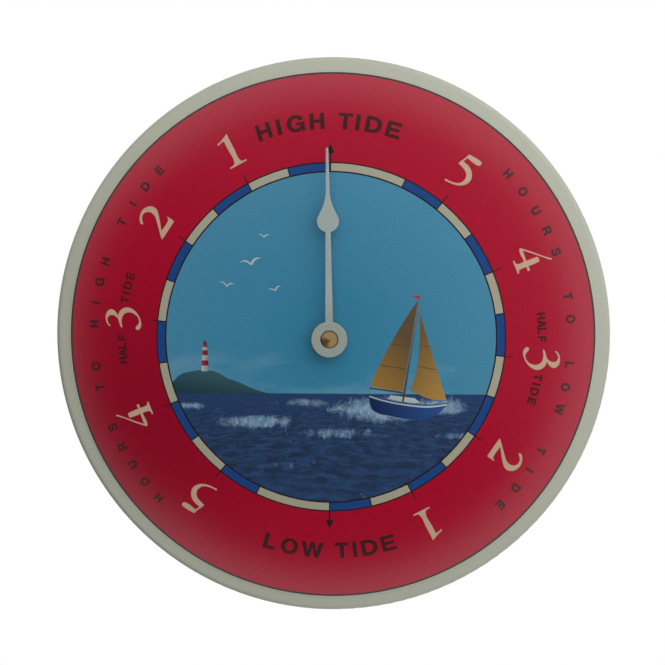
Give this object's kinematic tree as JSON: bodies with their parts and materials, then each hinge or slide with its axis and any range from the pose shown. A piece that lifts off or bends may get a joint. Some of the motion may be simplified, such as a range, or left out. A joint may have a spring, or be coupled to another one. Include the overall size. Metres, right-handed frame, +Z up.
{
  "type": "wall tide clock",
  "caption": "Round wall tide clock with a crowned printed dial, one tapered hand and a quartz movement that turns the hand once from high tide to the next.",
  "frame": {"origin": "centre of the nail hole of the hanger, at the plane of the wall", "axes": "+Z up the dial, -Y out of the dial towards the viewer, +Y into the wall, +X to the viewer's right"},
  "size_m": [0.254, 0.0284, 0.254],
  "materials": {
    "ivory_plastic": "moulded ivory plastic, satin gloss",
    "printed_film": "printed plastic film, satin laminate",
    "case_plastic": "black moulded plastic",
    "cover_plastic": "black moulded plastic, fine texture",
    "bushing_brass": "turned brass",
    "washer_rubber": "black rubber",
    "washer_brass": "stamped brass",
    "nut_brass": "turned brass",
    "hand_paint": "pale silver grey paint on aluminium",
    "cap_brass": "turned and dished brass",
    "white_acetal": "white acetal",
    "knob_plastic": "white moulded plastic",
    "brown_acetal": "brown acetal",
    "spring_steel": "spring steel",
    "collar_brass": "turned brass",
    "magnet": "sintered magnet",
    "soft_iron": "soft iron sheet",
    "bobbin_plastic": "blue moulded plastic",
    "enamelled_copper": "enamelled copper wire",
    "plate_plastic": "grey moulded plastic",
    "screw_steel": "zinc plated steel",
    "board_laminate": "green laminate",
    "chip_resin": "black resin",
    "crystal_can": "plated can",
    "contact_metal": "nickel plated strip",
    "battery_sleeve": "plain sleeve on a steel can"
  },
  "bodies": {
    "clock": {"dial_dish": "ivory_plastic", "dial_film": "printed_film", "case_front": "case_plastic", "case_rear_cover": "cover_plastic", "threaded_bushing": "bushing_brass", "rubber_washer": "washer_rubber", "front_washer": "washer_brass", "hex_nut": "nut_brass", "stator_plate": "soft_iron", "coil_core": "soft_iron", "coil_bobbin": "bobbin_plastic", "coil_winding": "enamelled_copper", "train_plate": "plate_plastic", "plate_screws": "screw_steel", "circuit_board": "board_laminate", "circuit_chip": "chip_resin", "quartz_crystal": "crystal_can", "positive_contact": "contact_metal", "negative_contact": "contact_metal", "battery": "battery_sleeve"},
    "hand": {"tide_hand": "hand_paint", "hand_bushing": "cap_brass", "tide_wheel": "white_acetal"},
    "motion": {"motion_wheel": "white_acetal", "setting_knob": "knob_plastic"},
    "cannon": {"cannon_pinion": "brown_acetal", "clutch_spring": "spring_steel", "clutch_collar": "collar_brass"},
    "centre": {"centre_wheel": "white_acetal"},
    "third": {"third_wheel": "brown_acetal"},
    "fourth": {"fourth_wheel": "white_acetal"},
    "fifth": {"fifth_wheel": "brown_acetal"},
    "rotor": {"rotor_pinion": "white_acetal", "rotor_magnet": "magnet"}
  },
  "joints": [
    {"name": "hand_turn", "type": "hinge", "parent": "clock", "child": "hand", "pos_m": [0, 0, -0.034], "axis": [0, 1, 0], "continuous": true},
    {"name": "motion_turn", "type": "hinge", "parent": "clock", "child": "motion", "pos_m": [-0.00849, 0, -0.02551], "axis": [0, 1, 0], "continuous": true},
    {"name": "cannon_turn", "type": "hinge", "parent": "clock", "child": "cannon", "pos_m": [0, 0, -0.034], "axis": [0, 1, 0], "continuous": true},
    {"name": "rotor_turn", "type": "hinge", "parent": "clock", "child": "rotor", "pos_m": [-0.00194, 0, -0.01502], "axis": [0, 1, 0], "continuous": true},
    {"name": "fifth_turn", "type": "hinge", "parent": "clock", "child": "fifth", "pos_m": [0.00506, 0, -0.01502], "axis": [0, 1, 0], "continuous": true},
    {"name": "fourth_turn", "type": "hinge", "parent": "clock", "child": "fourth", "pos_m": [0.01015, 0, -0.02011], "axis": [0, 1, 0], "continuous": true},
    {"name": "third_turn", "type": "hinge", "parent": "clock", "child": "third", "pos_m": [0.01015, 0, -0.03031], "axis": [0, 1, 0], "continuous": true},
    {"name": "centre_turn", "type": "hinge", "parent": "clock", "child": "centre", "pos_m": [0, 0, -0.034], "axis": [0, 1, 0], "continuous": true}
  ],
  "couplings": [
    {"joint": "motion_turn", "follows": "hand_turn", "ratio": -4},
    {"joint": "cannon_turn", "follows": "hand_turn", "ratio": 12},
    {"joint": "fifth_turn", "follows": "rotor_turn", "ratio": -0.16667},
    {"joint": "fourth_turn", "follows": "rotor_turn", "ratio": 0.033333},
    {"joint": "third_turn", "follows": "rotor_turn", "ratio": -0.0044444},
    {"joint": "centre_turn", "follows": "rotor_turn", "ratio": 0.00055556}
  ]
}
